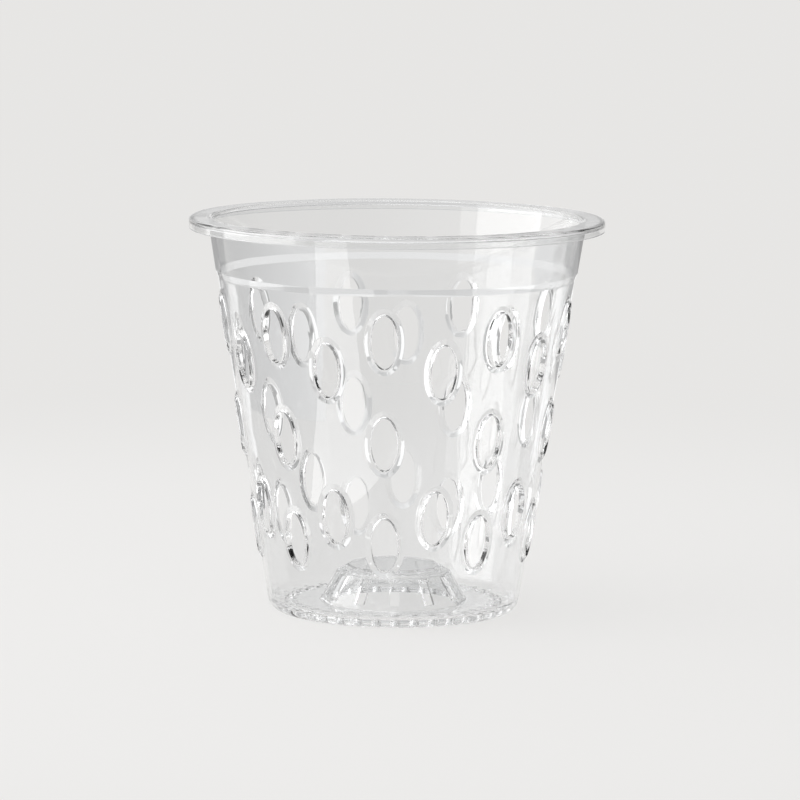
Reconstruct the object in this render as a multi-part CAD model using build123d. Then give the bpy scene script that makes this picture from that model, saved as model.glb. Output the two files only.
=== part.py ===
from build123d import *
import os
from math import atan, cos, radians, sin, sqrt, tan

# A clear moulded orchid pot, in millimetres. It stands on z = 0, with +Z up and its axis on Z.
# Angles round the pot start at -Y, the front, and grow towards +X.

# Overall sizes. The wall is one straight taper from the heel to the mouth.
pot_height = 114.0
heel_diameter = 72.0
mouth_diameter = 109.4
wall_thickness = 1.0

# Rim: a flat flange with a skirt that hangs outside the collar
lip_overhang = 5.3
lip_depth = 3.2
lip_thickness = 1.3
lip_edge_round = 0.8
skirt_edge_round = 0.3

# Collar, which is thicker than the wall, and the step below it on the outside
collar_depth = 15.2
shoulder_height = 2.2
shoulder_step = 0.45

# Oval slots in staggered columns. Long columns and short columns take turns round the wall.
column_pairs = 9
slot_width = 7.4
slot_length = 15.6
least_row_gap = 4.0
low_slot_height = 24.7
top_slot_drop = 13.0
short_column_rise = 7.7
short_column_drop = 8.7

# Raised border round each slot: a narrow crest and one wide bevel that runs down to the wall
slot_lip_height = 0.75
slot_lip_crest = 0.3
slot_lip_flank = 1.7

# Base: rounded heel, standing ring and floor, which is raised so that water runs out below it
heel_round = 3.5
heel_inner_round = 2.0
heel_band = 0.4
standing_width = 1.4
floor_rise = 1.0
floor_thickness = 1.6

# Drain holes near the floor's edge, with a notch through the standing ring at each of them
drain_count = 36
drain_diameter = 2.6
drain_edge = 0.8
notch_width = 1.4
notch_height = 0.45

# Crown: the raised middle of the base, many-sided, with an air slit at each corner and a bevelled cap
crown_sides = 12
crown_turn = 5.0
crown_foot_radius = 21.5
crown_flank_height = 8.7
crown_flank_radius = 16.5
crown_wall_thickness = 1.0
crown_cap_height = 1.7
crown_cap_radius = 13.2
crown_edge_round = 0.5
slit_width = 2.8
slit_rise = 1.2
slit_bridge = 0.7

# Lines and levels that follow from those sizes
heel_radius = heel_diameter / 2
mouth_radius = mouth_diameter / 2
rim_radius = mouth_radius + lip_overhang
wall_slope = (mouth_radius - shoulder_step - heel_radius) / pot_height
wall_angle = atan(wall_slope)

flange_bottom = pot_height - lip_thickness
skirt_bottom = pot_height - lip_depth
shoulder_top = pot_height - collar_depth
shoulder_bottom = shoulder_top - shoulder_height

floor_top = floor_rise + floor_thickness
heel_height = floor_top + heel_inner_round + heel_band
heel_round_run = heel_round * tan((radians(90) - wall_angle) / 2)
floor_edge_radius = heel_radius - heel_round_run - standing_width
drain_circle_radius = floor_edge_radius - drain_edge - drain_diameter / 2
cap_bottom = floor_top + crown_flank_height
crown_top = cap_bottom + crown_cap_height
flank_lean = (crown_foot_radius - crown_flank_radius) / crown_flank_height
bevel_lean = (crown_flank_radius - crown_cap_radius) / crown_cap_height


def outer_radius(height, step=0.0):
    """Radius of the wall's outer face at a height, moved out by a step."""
    return heel_radius + wall_slope * height + step


def crown_radius(height):
    """Radius to the crown's corners at a height: upright foot, sloping flank, flatter cap."""
    if height <= floor_top:
        return crown_foot_radius
    if height <= cap_bottom:
        climb = (height - floor_top) / crown_flank_height
        return crown_foot_radius + (crown_flank_radius - crown_foot_radius) * climb
    climb = (height - cap_bottom) / crown_cap_height
    return crown_flank_radius + (crown_cap_radius - crown_flank_radius) * climb


def turned(outline):
    """Solid turned about Z from a closed outline of radius and height."""
    return revolve(Plane.XZ * make_face(outline), Axis.Z)


def wall_band(low, high, low_step, high_step):
    """Tapered band of the pot's wall between two heights. A step moves its outer face only."""
    outline = Polyline(
        (outer_radius(low, low_step), low),
        (outer_radius(high, high_step), high),
        (outer_radius(high) - wall_thickness, high),
        (outer_radius(low) - wall_thickness, low),
        close=True,
    )
    return turned(outline)


def round_the_pot(shape, count, first_angle=0.0):
    """Evenly turned copies of a shape that was made at the front of the pot."""
    return [Rot(0, 0, first_angle + 360 / count * i) * shape for i in range(count)]


def spaced(low, high, count):
    """Heights spread evenly from low to high, or the one in the middle."""
    if count == 1:
        return [(low + high) / 2]
    return [low + (high - low) * i / (count - 1) for i in range(count)]


def rim_lip():
    edge_round = min(lip_edge_round, 0.6 * lip_thickness)
    skirt_round = min(skirt_edge_round, 0.4 * lip_thickness)
    skirt_radius = rim_radius - lip_thickness
    corners = [
        (outer_radius(flange_bottom) - wall_thickness, flange_bottom, 0),
        (skirt_radius, flange_bottom, skirt_round),
        (skirt_radius, skirt_bottom, skirt_round),
        (rim_radius, skirt_bottom, skirt_round),
        (rim_radius, pot_height, edge_round),
        (outer_radius(pot_height) - wall_thickness, pot_height, edge_round),
    ]
    points = [(radius, height) for radius, height, _ in corners]
    rounds = [edge for _, _, edge in corners]
    return turned(FilletPolyline(*points, radius=rounds, close=True))


def collar():
    return wall_band(shoulder_top, flange_bottom, shoulder_step, shoulder_step)


def shoulder_ring():
    return wall_band(shoulder_bottom, shoulder_top, 0, shoulder_step)


def slot_plane(height):
    """Plane on the wall's outer face at the front, facing out, with its own Y running up the wall."""
    outward = (0, -cos(wall_angle), -sin(wall_angle))
    return Plane((0, -outer_radius(height), height), x_dir=(1, 0, 0), z_dir=outward)


def slot_hole(height):
    reach = 4 * wall_thickness
    plane = slot_plane(height)
    inner = plane.offset(-reach) * Ellipse(slot_width / 2, slot_length / 2)
    outer = plane.offset(reach) * Ellipse(slot_width / 2, slot_length / 2)
    return loft([inner, outer], ruled=True)


def slot_lip(height):
    """Border of one slot. Its bevel is as wide at the sides, where the wall curves away, as at the ends."""
    crest_width = slot_width / 2 + slot_lip_crest
    crest_length = slot_length / 2 + slot_lip_crest
    radius = outer_radius(height)
    curve = radius - sqrt(radius**2 - (crest_width + slot_lip_flank) ** 2)
    sink = 2 * curve
    side_spread = slot_lip_flank * (slot_lip_height + sink) / (slot_lip_height + curve)
    end_spread = slot_lip_flank * (slot_lip_height + sink) / slot_lip_height
    plane = slot_plane(height)
    foot = plane.offset(-sink) * Ellipse(crest_width + side_spread, crest_length + end_spread)
    crest = plane.offset(slot_lip_height) * Ellipse(crest_width, crest_length)
    wall_inside = Polyline(
        (0, 0),
        (outer_radius(0), 0),
        (outer_radius(pot_height), pot_height),
        (0, pot_height),
        close=True,
    )
    return loft([foot, crest], ruled=True) - turned(wall_inside) - slot_hole(height)


def slot_rows():
    """Height of each slot's middle in a long column and in a short one."""
    top_slot_height = shoulder_bottom - top_slot_drop
    lip_reach = slot_length + 2 * (slot_lip_crest + slot_lip_flank)
    rows = int((top_slot_height - low_slot_height) / (lip_reach + least_row_gap)) + 1
    long_rows = spaced(low_slot_height, top_slot_height, rows)
    short_rows = spaced(
        low_slot_height + short_column_rise, top_slot_height - short_column_drop, max(rows - 1, 1)
    )
    return long_rows, short_rows


def slots_round_the_pot(make):
    """One shape per slot: the long columns first, then the short ones half a pitch round."""
    long_rows, short_rows = slot_rows()
    half_pitch = 180 / column_pairs
    shapes = []
    for height in long_rows:
        shapes += round_the_pot(make(height), column_pairs)
    for height in short_rows:
        shapes += round_the_pot(make(height), column_pairs, half_pitch)
    return shapes


def slotted_wall():
    return wall_band(heel_height, shoulder_bottom, 0, 0) - slots_round_the_pot(slot_hole)


def slot_lips():
    return Compound([lip.solid() for lip in slots_round_the_pot(slot_lip)])


def heel_ring():
    corners = [
        (floor_edge_radius, 0, 0),
        (heel_radius, 0, heel_round),
        (outer_radius(heel_height), heel_height, 0),
        (outer_radius(heel_height) - wall_thickness, heel_height, 0),
        (outer_radius(floor_top) - wall_thickness, floor_top, heel_inner_round),
        (floor_edge_radius, floor_top, 0),
    ]
    points = [(radius, height) for radius, height, _ in corners]
    rounds = [edge for _, _, edge in corners]
    ring = turned(FilletPolyline(*points, radius=rounds, close=True))
    notch = Box(notch_width, heel_radius, 2 * notch_height)
    notch = Pos(0, -heel_radius, 0) * notch
    return ring - round_the_pot(notch, drain_count, 180 / drain_count)


def drain_floor():
    plate = Pos(0, 0, floor_rise) * extrude(Circle(floor_edge_radius), floor_thickness)
    drain = Cylinder(drain_diameter / 2, 4 * floor_thickness)
    drain = Pos(0, -drain_circle_radius, floor_rise) * drain
    drains = round_the_pot(drain, drain_count, 180 / drain_count)
    return plate - crown_block(0, floor_top, 0) - drains


def crown_block(low, high, inset):
    """Straight stretch of the crown between two heights, drawn in by an inset."""
    ends = []
    for height in (low, high):
        corner = crown_radius(height) - inset / cos(radians(180 / crown_sides))
        ends.append(Pos(0, 0, height) * RegularPolygon(corner, crown_sides, rotation=crown_turn))
    return loft(ends, ruled=True)


def crown_hollow(low, high):
    """The hollow under the crown between two heights: its flank inside, then the underside of the cap's bevel."""
    inset = crown_wall_thickness / cos(radians(180 / crown_sides))
    bend = cap_bottom - (bevel_lean * crown_wall_thickness - inset) / (bevel_lean - flank_lean)
    levels = [low] + [level for level in (floor_top, bend) if low < level < high] + [high]
    hollow = []
    for below, above in zip(levels, levels[1:]):
        ends = []
        for level in (below, above):
            corner = crown_radius(level) - inset
            if level > bend:
                corner = crown_flank_radius - bevel_lean * (level + crown_wall_thickness - cap_bottom)
            ends.append(Pos(0, 0, level) * RegularPolygon(corner, crown_sides, rotation=crown_turn))
        hollow.append(loft(ends, ruled=True))
    return hollow


def crown_wall():
    outside = crown_block(floor_rise, floor_top, 0) + crown_block(floor_top, cap_bottom, 0)
    slit_bottom = floor_top + slit_rise
    slit_height = cap_bottom - slit_bridge - slit_bottom
    slit = Box(slit_width, crown_foot_radius, slit_height)
    slit = Pos(0, -crown_foot_radius, slit_bottom + slit_height / 2) * slit
    return outside - crown_hollow(floor_rise, cap_bottom) - round_the_pot(slit, crown_sides, crown_turn)


def crown_cap():
    cap = crown_block(cap_bottom, crown_top, 0)
    top_edges = cap.faces().sort_by(Axis.Z)[-1].edges()
    cap = fillet(top_edges, min(crown_edge_round, 0.8 * crown_cap_height))
    return cap - crown_hollow(cap_bottom, crown_top - crown_wall_thickness)


nodes = {
    "rim_lip": rim_lip(),
    "collar": collar(),
    "shoulder_ring": shoulder_ring(),
    "slotted_wall": slotted_wall(),
    "slot_lips": slot_lips(),
    "heel_ring": heel_ring(),
    "drain_floor": drain_floor(),
    "crown_wall": crown_wall(),
    "crown_cap": crown_cap(),
}

os.makedirs("parts", exist_ok=True)
for name, shape in nodes.items():
    export_step(shape, f"parts/{name}.step")
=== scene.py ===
from math import atan, atan2, cos, degrees, hypot, pi, radians, sin, tan

import bmesh
import bpy
from mathutils import Matrix, Vector


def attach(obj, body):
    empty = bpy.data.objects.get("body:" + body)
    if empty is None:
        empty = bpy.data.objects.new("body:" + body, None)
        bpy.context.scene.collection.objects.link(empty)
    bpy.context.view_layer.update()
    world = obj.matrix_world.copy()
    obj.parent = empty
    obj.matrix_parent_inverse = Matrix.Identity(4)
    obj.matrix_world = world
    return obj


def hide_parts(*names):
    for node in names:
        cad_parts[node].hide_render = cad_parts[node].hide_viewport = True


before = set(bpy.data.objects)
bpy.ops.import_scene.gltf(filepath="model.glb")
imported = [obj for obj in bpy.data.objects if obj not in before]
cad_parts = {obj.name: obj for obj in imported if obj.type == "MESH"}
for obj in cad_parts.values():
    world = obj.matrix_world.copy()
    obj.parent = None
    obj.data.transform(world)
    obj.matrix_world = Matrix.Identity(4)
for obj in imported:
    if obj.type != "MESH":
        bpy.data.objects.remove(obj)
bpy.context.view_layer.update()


# Slotted wall. The real pot is one shot of clear plastic, and its tapered wall is a millimetre thick.
# Oval air slots stand in staggered columns round it. Each has a raised, bevelled border, moulded on the
# outside. Sizes are in millimetres, and the corner points that the faces share are kept in metres.
heel_radius = 36.0
wall_slope = 0.16009
wall_tilt = atan(wall_slope)
wall_thickness = 1.0
wall_low = 5.4
wall_high = 96.2
column_pairs = 9
half_column = 90 / column_pairs
steps_across = 12
steps_up = 36
steps_round = 2 * column_pairs * steps_across
long_column = [24.7, 54.15, 83.6]
short_column = [32.4, 74.9]
slot_half_width = 3.7
slot_half_length = 7.8
slot_edge_round = 0.1
inner_edge_round = 0.1
lip_height = 0.75
lip_crest = 0.3
lip_flank = 1.7
lip_toe = 0.15
flank_ends = (0.06, 0.94)
inner_flat = 0.9
outer_way, inner_way = 0.4, 0.5
mid_round = 1 - cos(pi / 4)

points = []
faces = []
known = {}


def corner(x, y, z):
    """Number of the moulding's corner point at a place. Faces that meet there share it."""
    key = (round(x, 4), round(y, 4), round(z, 4))
    if key not in known:
        known[key] = len(points)
        points.append((x / 1000, y / 1000, z / 1000))
    return known[key]


def around(angle, radius, height):
    """Corner at an angle round the pot, in degrees from the front towards the right."""
    turn = radians(angle)
    return corner(radius * sin(turn), -radius * cos(turn), height)


def face(*corners):
    """One face, less any corners that fall together."""
    kept = [c for i, c in enumerate(corners) if c != corners[i - 1]]
    if len(set(kept)) > 2:
        faces.append(kept)


def skin(rings):
    """Faces between neighbours in a stack of closed rings that have as many corners each."""
    for ring, beside in zip(rings, rings[1:]):
        for i in range(len(ring)):
            face(ring[i - 1], ring[i], beside[i], beside[i - 1])


def wall_radius(height):
    return heel_radius + wall_slope * height


def at_slot(column, height, side, up, out):
    """Place given in a slot's own plane, which touches the outside of the wall at the slot's middle."""
    reach = wall_radius(height) + up * sin(wall_tilt) + out * cos(wall_tilt)
    turn = radians(column)
    x = reach * sin(turn) + side * cos(turn)
    y = -reach * cos(turn) + side * sin(turn)
    return x, y, height + up * cos(wall_tilt) - out * sin(wall_tilt)


def wall_depth(height, side, up, inset):
    """How far out of a slot's plane the wall's face lies there, found in a few steps."""
    out = -inset
    for _ in range(5):
        x, y, z = at_slot(0, height, side, up, out)
        out -= hypot(x, y) - (wall_radius(z) - inset)
    return out


def cell_border(left, right, low_to_high, across):
    """Places round a cell of the grid, anticlockwise from its lower left."""
    low, high = low_to_high[0], low_to_high[-1]
    angles = [left + (right - left) * i / across for i in range(across + 1)]
    border = [(angle, low) for angle in angles[:-1]]
    border += [(right, height) for height in low_to_high[:-1]]
    border += [(angle, high) for angle in angles[:0:-1]]
    border += [(left, height) for height in low_to_high[:0:-1]]
    return border


def slot_cell(column, low_to_high, height):
    """The wall round one slot, outside and inside, with the slot's border and the slot itself."""
    border = cell_border(column - half_column, column + half_column, low_to_high, steps_across)
    turns = []
    for angle, level in border:
        rise = level - height
        room = low_to_high[-1] - height if rise > 0 else height - low_to_high[0]
        turns.append(atan2(rise / room, (angle - column) / half_column))

    def oval(spread, out_at):
        """Places on an oval round the slot, at a height over its plane that may change along it."""
        ring = []
        for turn in turns:
            side = (slot_half_width + spread) * cos(turn)
            up = (slot_half_length + spread) * sin(turn)
            ring.append(at_slot(column, height, side, up, out_at(side, up)))
        return ring

    def to_border(ring, inset, shares):
        """Rings that lead from an oval on the wall's face to the cell's border."""
        rings = []
        for share in shares:
            row = []
            for (x, y, z), (angle, level) in zip(ring, border):
                here = degrees(atan2(x, -y))
                here += 360 * round((column - here) / 360)
                place = z + (level - z) * share
                row.append(around(here + (angle - here) * share, wall_radius(place) - inset, place))
            rings.append(row)
        return rings

    outside = []
    part_round = mid_round * slot_edge_round
    for spread, drop in ((0, slot_edge_round), (part_round, part_round), (slot_edge_round, 0),
                         (lip_crest, 0)):
        outside.append(oval(spread, lambda side, up: lip_height - drop))
    on_wall = [oval(lip_crest + lip_flank + spread, lambda side, up: wall_depth(height, side, up, 0))
               for spread in (0, lip_toe)]
    for share in flank_ends:
        outside.append([Vector(a).lerp(Vector(b), share) for a, b in zip(outside[3], on_wall[0])])
    outside += on_wall
    inside = []
    part_round = mid_round * inner_edge_round
    for spread, proud in ((0, inner_edge_round), (part_round, part_round), (inner_edge_round, 0),
                          (inner_flat, 0)):
        inside.append(oval(spread, lambda side, up: wall_depth(height, side, up, wall_thickness) + proud))
    rings = [[corner(*place) for place in ring] for ring in inside[::-1] + outside]
    from_inside = to_border(inside[-1], wall_thickness, (1, inner_way))
    skin(from_inside + rings + to_border(outside[-1], 0, (outer_way, 1)))


rise = (wall_high - wall_low) / steps_up
levels = [wall_low + rise * i for i in range(steps_up + 1)]
for column in range(2 * column_pairs):
    heights = short_column if column % 2 else long_column
    cuts = [0]
    for below, above in zip(heights, heights[1:]):
        cuts.append(round(((below + above) / 2 - wall_low) / rise))
    cuts.append(steps_up)
    for height, low, high in zip(heights, cuts, cuts[1:]):
        slot_cell(2 * half_column * column, levels[low:high + 1], height)

wall_angles = [-half_column + 360 / steps_round * i for i in range(steps_round)]


# Collar, shoulder and rim. Above the slots the wall's outside steps out in a small shoulder, so the plain
# collar over it is thicker and stiffer. It leads up to a flat flange, and a short skirt hangs from the
# flange's edge. They are moulded with the wall, and all their edges are soft.
pot_height = 114.0
shoulder_low, shoulder_high = 96.6, 98.8
shoulder_step = 0.45
flange_bottom = 112.7
skirt_bottom = 110.8
rim_radius = 60.0
skirt_radius = 58.7
mouth_radius = 53.25
shoulder_round, collar_round, skirt_round, rim_round = 0.25, 0.4, 0.3, 0.8
rim_hold = 0.15
bend_step = 11


def bent(outline, hold):
    """Outline of radius, height and edge round, as places along it with its corners rounded off.
    A place on each side of a round, at the hold's distance, keeps the flats beside it flat."""
    places = [Vector(outline[0][:2])]
    for before, here, after in zip(outline, outline[1:], outline[2:]):
        middle, edge_round = Vector(here[:2]), here[2]
        back = (Vector(before[:2]) - middle).normalized()
        on = (Vector(after[:2]) - middle).normalized()
        if edge_round == 0:
            places.append(middle)
            continue
        half = back.angle(on) / 2
        length = edge_round / tan(half)
        inward = (back + on).normalized()
        centre = middle + inward * edge_round / sin(half)
        sweep = pi - 2 * half
        count = max(2, round(degrees(sweep) / bend_step))
        first = middle + back * length - centre
        spin = 1 if first.cross(middle + on * length - centre) > 0 else -1
        places.append(middle + back * (length + hold))
        for i in range(count + 1):
            places.append(centre + Matrix.Rotation(spin * sweep * i / count, 2) @ first)
        places.append(middle + on * (length + hold))
    places.append(Vector(outline[-1][:2]))
    return places


collar_low = wall_radius(shoulder_high) + shoulder_step
collar_high = wall_radius(flange_bottom) + shoulder_step
rim_outline = bent([
    (wall_radius(wall_high), wall_high, 0),
    (wall_radius(shoulder_low), shoulder_low, shoulder_round),
    (collar_low, shoulder_high, shoulder_round),
    (collar_high, flange_bottom, collar_round),
    (skirt_radius, flange_bottom, skirt_round),
    (skirt_radius, skirt_bottom, skirt_round),
    (rim_radius, skirt_bottom, skirt_round),
    (rim_radius, pot_height, rim_round),
    (mouth_radius, pot_height, rim_round),
    (wall_radius(wall_high) - wall_thickness, wall_high, 0),
], rim_hold)
skin([[around(angle, *place) for angle in wall_angles] for place in rim_outline])


# Heel. The wall turns into the base in a soft corner, and the pot stands on a narrow flat ring inside it.
# Small notches through that ring let water out from under the raised floor, one beside each drain hole.
floor_bottom, floor_top = 1.0, 2.6
ring_inner_radius = 31.6
drain_count = 36
notch_half_angle = 1.215
notch_side = 0.2
notch_height = 0.45
drain_pitch = 360 / drain_count
notch_edge = notch_half_angle + notch_side
notch_lines = (-drain_pitch / 2, -notch_edge, -notch_half_angle, 0, notch_half_angle, notch_edge)
floor_outer = 31.2
heel_round, inner_heel_round, ring_round = 3.5, 2.0, 0.15
heel_hold = 0.1

base_angles = []
notched = []
for n in range(drain_count):
    for line in notch_lines:
        base_angles.append(-half_column + drain_pitch * (n + 0.5) + line)
        notched.append(abs(line) <= notch_half_angle)

heel_outside = bent([
    (wall_radius(wall_low), wall_low, 0),
    (heel_radius, 0, heel_round),
    (ring_inner_radius, 0, ring_round),
    (ring_inner_radius, floor_bottom, ring_round),
    (floor_outer, floor_bottom, 0),
], heel_hold)
heel_inside = bent([
    (wall_radius(wall_low) - wall_thickness, wall_low, 0),
    (wall_radius(floor_top) - wall_thickness, floor_top, inner_heel_round),
    (floor_outer, floor_top, 0),
], heel_hold)
for outline in (heel_outside, heel_inside):
    rings = [[around(angle, *outline[0]) for angle in wall_angles]]
    for radius, height in outline[1:]:
        rings.append([around(angle, radius, max(height, notch_height) if cut else height)
                      for angle, cut in zip(base_angles, notched)])
    skin(rings)


# Drain floor. A flat ring of floor, a little above the ground, with a circle of small drain holes near its
# edge. The holes are moulded with the pot, by pins in the mould, and their edges are soft.
floor_inner = 27.4
drain_circle = 29.5
drain_radius = 1.3
drain_edge_round = 0.15
drain_flat = 0.7
drain_steps = 5


def drain_cell(middle):
    """Floor round one drain hole, above and below, with the hole between them."""
    step = (floor_outer - floor_inner) / drain_steps
    reach = [floor_inner + step * i for i in range(drain_steps + 1)]
    part_round = mid_round * drain_edge_round
    lines = [middle + line for line in notch_lines] + [middle + drain_pitch / 2]
    border = [(line, reach[0]) for line in lines[:-1]] + [(lines[-1], r) for r in reach[:-1]]
    border += [(line, reach[-1]) for line in lines[:0:-1]] + [(lines[0], r) for r in reach[:0:-1]]
    rings = []
    for level, inward in ((floor_bottom, 1), (floor_top, -1)):
        side = []
        for spread, sink in ((None, 0), (drain_flat, 0), (drain_edge_round, 0),
                             (part_round, part_round), (0, drain_edge_round)):
            ring = []
            for line, r in border:
                if spread is None:
                    ring.append(around(line, r, level))
                    continue
                across = radians(line - middle) * drain_circle
                turn = atan2(r - drain_circle, across)
                x = (drain_radius + spread) * cos(turn)
                y = drain_circle + (drain_radius + spread) * sin(turn)
                ring.append(around(middle + degrees(atan2(x, y)), hypot(x, y), level + inward * sink))
            side.append(ring)
        rings += side if inward > 0 else side[::-1]
    skin(rings)


for n in range(drain_count):
    drain_cell(-half_column + drain_pitch * (n + 0.5))


# Crown. The middle of the base is raised in a twelve-sided crown, so that air reaches the roots from below.
# It is a thin shell, moulded with the floor. A narrow upright slit cuts each of its corners, and its
# bevelled cap is closed.
crown_sides = 12
crown_turn = 5.0
crown_foot, crown_flank, crown_cap = 21.5, 16.5, 13.2
flank_top, crown_top = 11.3, 13.0
crown_thickness = 1.0
slit_low, slit_high = 3.8, 10.6
slit_half_width = 1.4
foot_round, flank_round, cap_round, under_round = 0.4, 0.3, 0.4, 0.3
foot_reach, cap_reach = 1.2, 1.0
foot_hold, cap_hold = 0.1, 0.05
floor_rings = 3
steps_on_side = steps_round // crown_sides
corner_cut = cos(pi / crown_sides)
mid_side = steps_on_side // 2


def crown_ring(radius, height):
    """Corners round the crown at a height. The lines beside its own corners keep the slit's width."""
    length = 2 * radius * sin(pi / crown_sides)
    edge = slit_half_width / corner_cut
    near = [0, edge / 2, edge]
    plain = steps_on_side - 4
    offsets = near + [edge + (length - 2 * edge) * i / plain for i in range(1, plain)]
    offsets += [length - edge, length - edge / 2]
    ring = []
    for i in range(steps_round):
        side, step = divmod(i - mid_side, steps_on_side)
        ends = []
        for k in (side, side + 1):
            turn = radians(crown_turn + 360 / crown_sides * k)
            ends.append(Vector((radius * sin(turn), -radius * cos(turn))))
        place = ends[0].lerp(ends[1], offsets[step] / length)
        ring.append(corner(place.x, place.y, height))
    return ring


def at_height(foot, top, height):
    """Corner radius and height of a place on a straight flank."""
    share = (height - foot[1]) / (top[1] - foot[1])
    return foot[0] + (top[0] - foot[0]) * share, height


def between_rings(ring, beside, count):
    """Rings spaced evenly from one ring to another."""
    rings = [ring]
    for n in range(1, count):
        row = []
        for a, b in zip(ring, beside):
            place = Vector(points[a]).lerp(Vector(points[b]), n / count) * 1000
            row.append(corner(*place))
        rings.append(row)
    return rings + [beside]


inset = crown_thickness / corner_cut
outer_foot, outer_top = (crown_foot, floor_top), (crown_flank, flank_top)
inner_foot, inner_top = (crown_foot - inset, floor_top), (crown_flank - inset, flank_top)
outer_low, outer_high = (at_height(outer_foot, outer_top, level) for level in (slit_low, slit_high))
inner_low, inner_high = (at_height(inner_foot, inner_top, level) for level in (slit_low, slit_high))
crown_outside = bent([
    (crown_foot + foot_reach, floor_top, 0),
    (*outer_foot, foot_round),
    (*outer_low, 0),
], foot_hold)
crown_inside = [(crown_foot - inset, floor_bottom), inner_foot, inner_low]
crown_above = bent([
    (*outer_high, 0),
    (*outer_top, flank_round),
    (crown_cap, crown_top, cap_round),
    (crown_cap - cap_reach, crown_top, 0),
], cap_hold)

# under the cap, the bevel runs parallel to the one above until it meets the inside of the flank
flank_lean = (crown_foot - crown_flank) / (flank_top - floor_top)
bevel_lean = (crown_flank - crown_cap) / (crown_top - flank_top)
cap_bottom = crown_top - crown_thickness
flank_at_ground = inner_foot[0] + flank_lean * floor_top
bevel_at_ground = crown_cap + bevel_lean * cap_bottom
bevel_bottom = (bevel_at_ground - flank_at_ground) / (bevel_lean - flank_lean)
cap_under = bent([
    (*inner_high, 0),
    (*at_height(inner_foot, inner_top, bevel_bottom), 0),
    (crown_cap, cap_bottom, under_round),
    (crown_cap - cap_reach, cap_bottom, 0),
], cap_hold)

outer_rings = [crown_ring(*place) for place in crown_outside]
inner_rings = [crown_ring(*place) for place in crown_inside]
above_rings = [crown_ring(*place) for place in crown_above]
cap_rings = [crown_ring(*place) for place in cap_under]
for rings in (outer_rings, inner_rings, above_rings, cap_rings):
    skin(rings)
face(*above_rings[-1])
face(*cap_rings[-1][::-1])
floor_ring = [around(angle, floor_inner, floor_top) for angle in base_angles]
under_ring = [around(angle, floor_inner, floor_bottom) for angle in base_angles]
skin(between_rings(floor_ring, outer_rings[0], floor_rings))
skin(between_rings(under_ring, inner_rings[0], floor_rings))

# the flank between the slits, and the slits' own sides
bounds = [outer_rings[-1], above_rings[0], cap_rings[0], inner_rings[-1]]
for i in range(steps_round):
    step = (i - 1 - mid_side) % steps_on_side
    open_here = step in (0, 1, steps_on_side - 2, steps_on_side - 1)
    low_out, high_out, high_in, low_in = ([ring[i - 1], ring[i]] for ring in bounds)
    if open_here:
        face(*low_out, *low_in[::-1])
        face(*high_out, *high_in[::-1])
    else:
        face(*low_out, *high_out[::-1])
        face(*low_in, *high_in[::-1])
    if step == 2:
        face(low_out[0], high_out[0], high_in[0], low_in[0])
    if step == steps_on_side - 3:
        face(low_out[1], high_out[1], high_in[1], low_in[1])


# The moulding as a whole, and its plastic: clear, hard and glossy. The rim and crown are painted a little
# greyer, as painted shade for the darker look that light gives them there.
# Flow in the mould leaves faint waves in it, and handling leaves a fine haze, most of all on the ring that
# it stands on.
class Finish:
    """One value in a finish, so that a finish can be written as a sum."""

    def __init__(self, tree, socket=None):
        self.tree = tree
        self.socket = socket

    def node(self, kind, settings, inputs, output=0):
        """Any node: its type, its settings, and the values or links of its sockets."""
        made = self.tree.nodes.new(kind)
        for name, value in settings.items():
            setattr(made, name, value)
        for name, value in inputs.items():
            if isinstance(value, Finish):
                self.tree.links.new(value.socket, made.inputs[name])
            else:
                made.inputs[name].default_value = value
        return Finish(self.tree, None if output is None else made.outputs[output])

    def sum(self, operation, a, b):
        return self.node("ShaderNodeMath", {"operation": operation}, {0: a, 1: b})

    def __add__(self, other):
        return self.sum("ADD", self, other)

    __radd__ = __add__

    def __mul__(self, other):
        return self.sum("MULTIPLY", self, other)

    __rmul__ = __mul__


def new_finish(name):
    """An empty material, and the start of its node tree."""
    material = bpy.data.materials.new(name)
    material.use_nodes = True
    material.node_tree.nodes.clear()
    return material, Finish(material.node_tree)


clear_plastic, mix = new_finish("clear_plastic")
place = mix.node("ShaderNodeTexCoord", {}, {}, "Object")
height = mix.node("ShaderNodeSeparateXYZ", {}, {"Vector": place}, "Z")
waves = mix.node("ShaderNodeTexNoise", {}, {"Vector": place, "Scale": 55.0, "Detail": 1.0}, "Fac")
haze = mix.node("ShaderNodeTexNoise", {}, {"Vector": place, "Scale": 900.0, "Detail": 3.0}, "Fac")
scuffs = mix.node("ShaderNodeMapRange", {"interpolation_type": "SMOOTHSTEP"},
                  {"Value": height, "From Min": 0.0, "From Max": 0.0016, "To Min": 1.0, "To Max": 0.0})
roughness = 0.012 + 0.02 * haze + 0.12 * scuffs * haze
normal = mix.node("ShaderNodeBump", {}, {"Strength": 0.35, "Distance": 0.0002, "Height": waves}, "Normal")
flat_place = mix.node("ShaderNodeVectorMath", {"operation": "MULTIPLY"}, {0: place, 1: (1.0, 1.0, 0.0)})
from_middle = mix.node("ShaderNodeVectorMath", {"operation": "LENGTH"}, {0: flat_place}, "Value")
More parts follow.
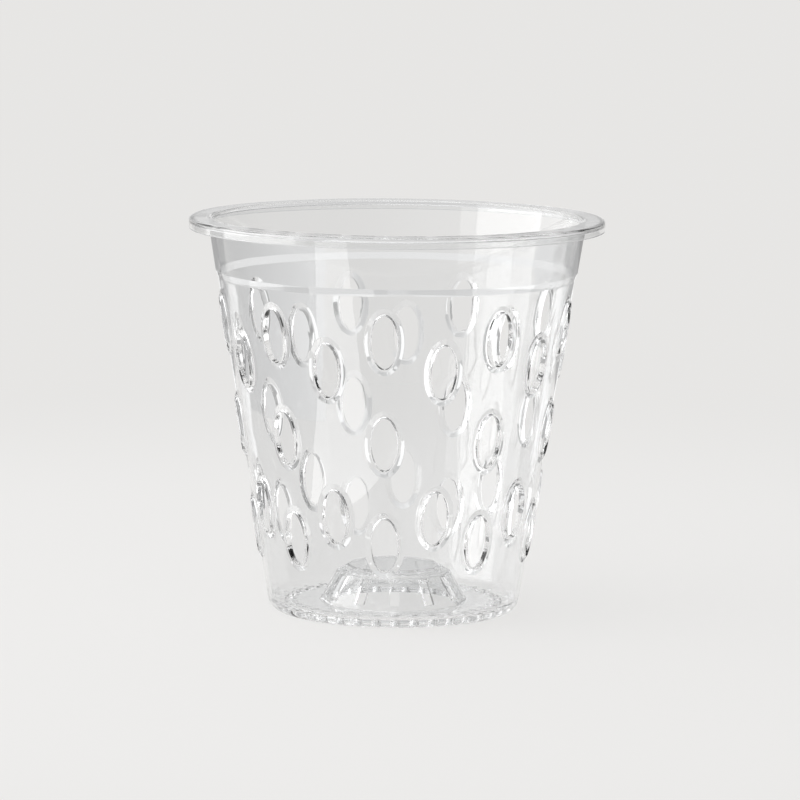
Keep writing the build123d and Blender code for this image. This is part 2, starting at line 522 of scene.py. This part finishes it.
# painted shade: the plastic's own pale tint turns a little greyer over the rim and the crown, standing in
# for the darker look that light gives them there
rim_painted_shade = mix.node("ShaderNodeMapRange", {}, {"Value": from_middle, "From Min": 0.0548, "From Max": 0.0556})
crown_painted_shade = mix.node("ShaderNodeMapRange", {}, {"Value": from_middle, "From Min": 0.0232, "From Max": 0.0224})
tint_and_painted_shade = mix.node("ShaderNodeMix", {"data_type": "RGBA"}, {
    "Factor": rim_painted_shade + crown_painted_shade,
    "A": (0.945, 0.948, 0.95, 1.0),
    "B": (0.925, 0.928, 0.93, 1.0),
}, "Result")
plastic = mix.node("ShaderNodeBsdfPrincipled", {}, {
    "Base Color": tint_and_painted_shade,
    "Roughness": roughness,
    "IOR": 1.5,
    "Transmission Weight": 1.0,
    "Normal": normal,
})
shadow_ray = mix.node("ShaderNodeLightPath", {}, {}, "Is Shadow Ray")
see_through = mix.node("ShaderNodeBsdfTransparent", {}, {"Color": (0.86, 0.865, 0.87, 1.0)})
surface = mix.node("ShaderNodeMixShader", {}, {0: shadow_ray, 1: plastic, 2: see_through})
mix.node("ShaderNodeOutputMaterial", {}, {"Surface": surface}, None)

weld_distance = 2e-6
crisp_angle = 38
mesh = bpy.data.meshes.new("pot")
mesh.from_pydata(points, [], faces)
shape = bmesh.new()
shape.from_mesh(mesh)
bmesh.ops.remove_doubles(shape, verts=shape.verts, dist=weld_distance)
bmesh.ops.recalc_face_normals(shape, faces=shape.faces)
shape.to_mesh(mesh)
shape.free()
mesh.shade_smooth()
mesh.set_sharp_from_angle(angle=radians(crisp_angle))
mesh.materials.append(clear_plastic)
pot = bpy.data.objects.new("pot", mesh)
bpy.context.scene.collection.objects.link(pot)
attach(pot, "root")
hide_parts("rim_lip", "collar", "shoulder_ring", "slotted_wall", "slot_lips", "heel_ring",
            "drain_floor", "crown_wall", "crown_cap")


# Studio floor: one plain pale sheet, wide enough to fill the view, that keeps the pot's soft shadow.
# The camera and the clear plastic see it pale, and in one even tone away from the pot. It passes on light as
# plain paper does.
floor_half = 12.0
pale = (1.0, 0.99, 0.975, 1.0)
paper, mix = new_finish("pale_paper")
sheet = mix.node("ShaderNodeBsdfDiffuse", {}, {"Color": (0.16, 0.16, 0.16, 1.0)})
glow = mix.node("ShaderNodeEmission", {}, {"Color": pale, "Strength": 0.68})
near_pot = mix.node("ShaderNodeAddShader", {}, {0: sheet, 1: glow})
even = mix.node("ShaderNodeEmission", {}, {"Color": pale, "Strength": 0.8})
place = mix.node("ShaderNodeTexCoord", {}, {}, "Object")
from_pot = mix.node("ShaderNodeVectorMath", {"operation": "LENGTH"}, {0: place}, "Value")
far = mix.node("ShaderNodeMapRange", {"interpolation_type": "SMOOTHSTEP"},
               {"Value": from_pot, "From Min": 0.2, "From Max": 0.5, "To Min": 0.0, "To Max": 1.0})
seen = mix.node("ShaderNodeMixShader", {}, {0: far, 1: near_pot, 2: even})
lit = mix.node("ShaderNodeBsdfDiffuse", {}, {"Color": (0.8, 0.8, 0.8, 1.0)})
direct = mix.node("ShaderNodeLightPath", {}, {}, "Is Camera Ray")
glossy = mix.node("ShaderNodeLightPath", {}, {}, "Is Glossy Ray")
through = mix.node("ShaderNodeLightPath", {}, {}, "Is Transmission Ray")
shown = mix.sum("MAXIMUM", mix.sum("MAXIMUM", direct, glossy), through)
surface = mix.node("ShaderNodeMixShader", {}, {0: shown, 1: lit, 2: seen})
mix.node("ShaderNodeOutputMaterial", {}, {"Surface": surface}, None)
floor_mesh = bpy.data.meshes.new("floor")
corners = [(x * floor_half, y * floor_half, 0) for x, y in ((-1, -1), (1, -1), (1, 1), (-1, 1))]
floor_mesh.from_pydata(corners, [], [(0, 1, 2, 3)])
floor_mesh.materials.append(paper)
floor = bpy.data.objects.new("floor", floor_mesh)
bpy.context.scene.collection.objects.link(floor)


# Studio light: a large soft box and a dimmer sheet at the left, a soft box overhead, white cards that lie on
# the table at both sides, and white and grey cards that stand behind the pot. The camera sees none of them,
# and the clear plastic shows them in its walls, edges and slot borders.
def light_up(name, place, width, length, radiance):
    """Rectangular lamp. Its power follows from how bright its face should look."""
    lamp = bpy.data.lights.new(name, "AREA")
    lamp.shape = "RECTANGLE"
    lamp.size, lamp.size_y = width, length
    lamp.energy = radiance * pi * width * length
    lit = bpy.data.objects.new(name, lamp)
    lit.location = place
    lit.visible_camera = False
    bpy.context.scene.collection.objects.link(lit)
    return lit


def soft_box(name, place, towards, width, length, radiance):
    """Lamp in the air that faces a place."""
    box = light_up(name, place, width, length, radiance)
    box.rotation_euler = (Vector(place) - Vector(towards)).to_track_quat("Z", "Y").to_euler()


def table_card(name, x, y, turn, width, length, radiance):
    """White card flat on the table, which only the plastic's gloss shows."""
    card = light_up(name, (x, y, 0.0005), width, length, radiance)
    card.rotation_euler = (pi, 0, radians(turn))
    card.visible_diffuse = False
    card.visible_transmission = False


cards_behind = 0.26
collar_line = 0.063
cards_end = 0.4


def upright_card(name, near, far, low, high, near_tone, far_tone, fade):
    """Card behind the pot, from its edge near the middle outwards. Its tone fades from that edge."""
    paper, mix = new_finish(name)
    place = mix.node("ShaderNodeTexCoord", {}, {}, "Object")
    across = mix.node("ShaderNodeSeparateXYZ", {}, {"Vector": place}, "X")
    tone = mix.node("ShaderNodeMapRange", {}, {
        "Value": across,
        "From Min": near,
        "From Max": near + fade if far > near else near - fade,
        "To Min": near_tone,
        "To Max": far_tone,
    })
    glow = mix.node("ShaderNodeEmission", {}, {"Color": tone})
    mix.node("ShaderNodeOutputMaterial", {}, {"Surface": glow}, None)
    mesh = bpy.data.meshes.new(name)
    corners = [(x, cards_behind, z) for x, z in ((near, low), (far, low), (far, high), (near, high))]
    mesh.from_pydata(corners, [], [(0, 1, 2, 3)])
    mesh.materials.append(paper)
    card = bpy.data.objects.new(name, mesh)
    bpy.context.scene.collection.objects.link(card)
    card.visible_camera = False
    card.visible_diffuse = False
    card.visible_shadow = False


soft_box("left_soft_box", place=(-0.743, -0.158, 0.32), towards=(0, 0, 0.18),
         width=0.774, length=0.64, radiance=1.6)
soft_box("left_sheet", place=(-0.796, -0.084, 0.32), towards=(0, 0, 0.18),
         width=1.6, length=0.64, radiance=0.8)
soft_box("top_soft_box", place=(-0.2, -0.5, 2.2), towards=(0, 0, 0.06),
         width=1.6, length=1.6, radiance=2.0)
table_card("left_table_card", x=-0.151, y=-0.22, turn=-37.5, width=0.107, length=0.31, radiance=2.6)
table_card("right_table_card", x=0.247, y=-0.1, turn=68, width=0.09, length=0.31, radiance=1.4)
upright_card("left_high_grey", near=-0.0435, far=-cards_end, low=collar_line, high=0.078,
             near_tone=0.83, far_tone=0.42, fade=0.0865)
upright_card("left_low_grey", near=-0.0435, far=-0.088, low=0.018, high=collar_line,
             near_tone=0.83, far_tone=0.62, fade=0.0445)
upright_card("left_white", near=-0.088, far=-0.118, low=0.0, high=collar_line,
             near_tone=1.2, far_tone=1.2, fade=0.03)
upright_card("left_far_grey", near=-0.118, far=-cards_end, low=0.018, high=collar_line,
             near_tone=0.45, far_tone=0.42, fade=0.01)
upright_card("right_high_grey", near=0.04, far=cards_end, low=collar_line, high=0.082,
             near_tone=0.75, far_tone=0.35, fade=0.03)
upright_card("right_white", near=0.052, far=0.085, low=0.0, high=collar_line,
             near_tone=1.2, far_tone=1.2, fade=0.03)
upright_card("right_far_grey", near=0.085, far=cards_end, low=0.018, high=collar_line,
             near_tone=0.5, far_tone=0.45, fade=0.01)

# the dim room: brighter to the left, and along a low strip behind
world = bpy.data.worlds.new("dim_room")
world.use_nodes = True
world.node_tree.nodes.clear()
room = Finish(world.node_tree)
away_from = room.node("ShaderNodeTexCoord", {}, {}, "Generated")
to_right = room.node("ShaderNodeSeparateXYZ", {}, {"Vector": away_from}, "X")
to_back = room.node("ShaderNodeSeparateXYZ", {}, {"Vector": away_from}, "Y")
upward = room.node("ShaderNodeSeparateXYZ", {}, {"Vector": away_from}, "Z")
level = room.node("ShaderNodeMapRange", {"interpolation_type": "SMOOTHSTEP"},
                  {"Value": to_right, "From Min": -0.7, "From Max": 0.8, "To Min": 0.85, "To Max": 0.25})
back = room.node("ShaderNodeMapRange", {"interpolation_type": "SMOOTHSTEP"},
                 {"Value": to_back, "From Min": 0.5, "From Max": 0.85, "To Min": 0.0, "To Max": 1.0})
low = room.node("ShaderNodeMapRange", {"interpolation_type": "SMOOTHSTEP"},
                {"Value": upward, "From Min": 0.07, "From Max": 0.095, "To Min": 0.28, "To Max": 0.06})
air = room.node("ShaderNodeBackground", {}, {"Color": (1.0, 1.0, 1.0, 1.0), "Strength": level + back * low})
room.node("ShaderNodeOutputWorld", {}, {"Surface": air}, None)
bpy.context.scene.world = world


# Camera: a long lens a little above the rim, as the photograph was taken, leaning very slightly.
# The view is plain, with no depth of field, and light may pass through many walls of clear plastic.
look_at = Vector((0, 0, 0.057))
camera_azimuth, camera_elevation = radians(3.73), radians(7.85)
camera_distance = 1.4
aim_right, aim_up = 0.00136, 0.00386
lean = radians(0.6)
level_reach = cos(camera_elevation)
away = Vector((sin(camera_azimuth) * level_reach, -cos(camera_azimuth) * level_reach, sin(camera_elevation)))
camera = bpy.data.objects.new("camera", bpy.data.cameras.new("camera"))
bpy.context.scene.collection.objects.link(camera)
camera.data.sensor_width = 36.0
camera.data.lens = 217.35
camera.data.clip_end = 100.0
camera.location = look_at + away * camera_distance
side = Vector((cos(camera_azimuth), sin(camera_azimuth), 0))
aim = look_at + side * aim_right + away.cross(side) * aim_up
facing = (camera.location - aim).to_track_quat("Z", "Y").to_matrix()
camera.rotation_euler = (facing @ Matrix.Rotation(lean, 3, "Z")).to_euler()
bpy.context.scene.camera = camera

bpy.context.scene.view_settings.view_transform = "Standard"
bpy.context.scene.cycles.use_denoising = True
bpy.context.scene.cycles.max_bounces = 32
bpy.context.scene.cycles.transmission_bounces = 32
bpy.context.scene.cycles.glossy_bounces = 24
